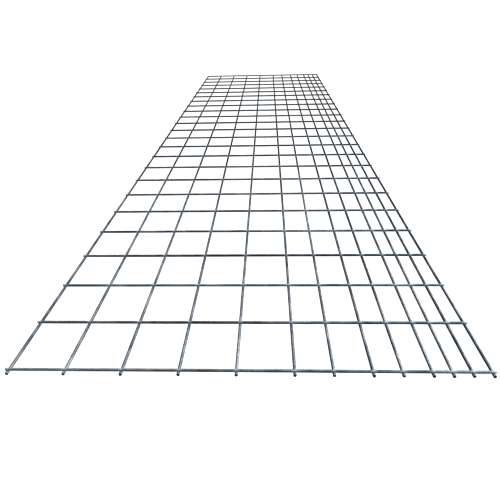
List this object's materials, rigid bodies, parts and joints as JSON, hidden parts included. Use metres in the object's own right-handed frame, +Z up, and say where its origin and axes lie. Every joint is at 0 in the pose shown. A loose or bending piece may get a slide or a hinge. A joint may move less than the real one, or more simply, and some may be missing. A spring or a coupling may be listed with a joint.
{
  "type": "welded wire cattle panel",
  "caption": "Flat rectangular livestock fence panel of long straight line wires with shorter stay wires welded across them, meshes wide at one long edge and closing up towards the other.",
  "frame": {"origin": "under the middle of the panel, on the level that the line wires lie on", "axes": "+Y along the panel's 16 ft length, +X across it from the wide meshes to the narrow meshes, +Z up, out of the side that the stay wires are on"},
  "size_m": [1.282, 4.8998, 0.0144],
  "materials": {
    "galvanised_wire": "galvanised wire: smooth blue-grey zinc, drawn along the wire, duller and paler at the welds, bare dark steel on the sheared ends"
  },
  "bodies": {
    "root": {"line_wire_01": "galvanised_wire", "line_wire_02": "galvanised_wire", "line_wire_03": "galvanised_wire", "line_wire_04": "galvanised_wire", "line_wire_05": "galvanised_wire", "line_wire_06": "galvanised_wire", "line_wire_07": "galvanised_wire", "line_wire_08": "galvanised_wire", "line_wire_09": "galvanised_wire", "line_wire_10": "galvanised_wire", "line_wire_11": "galvanised_wire", "line_wire_12": "galvanised_wire", "line_wire_13": "galvanised_wire", "stay_wire_01": "galvanised_wire", "stay_wire_02": "galvanised_wire", "stay_wire_03": "galvanised_wire", "stay_wire_04": "galvanised_wire", "stay_wire_05": "galvanised_wire", "stay_wire_06": "galvanised_wire", "stay_wire_07": "galvanised_wire", "stay_wire_08": "galvanised_wire", "stay_wire_09": "galvanised_wire", "stay_wire_10": "galvanised_wire", "stay_wire_11": "galvanised_wire", "stay_wire_12": "galvanised_wire", "stay_wire_13": "galvanised_wire", "stay_wire_14": "galvanised_wire", "stay_wire_15": "galvanised_wire", "stay_wire_16": "galvanised_wire", "stay_wire_17": "galvanised_wire", "stay_wire_18": "galvanised_wire", "stay_wire_19": "galvanised_wire", "stay_wire_20": "galvanised_wire", "stay_wire_21": "galvanised_wire", "stay_wire_22": "galvanised_wire", "stay_wire_23": "galvanised_wire", "stay_wire_24": "galvanised_wire", "stay_wire_25": "galvanised_wire"}
  },
  "joints": []
}
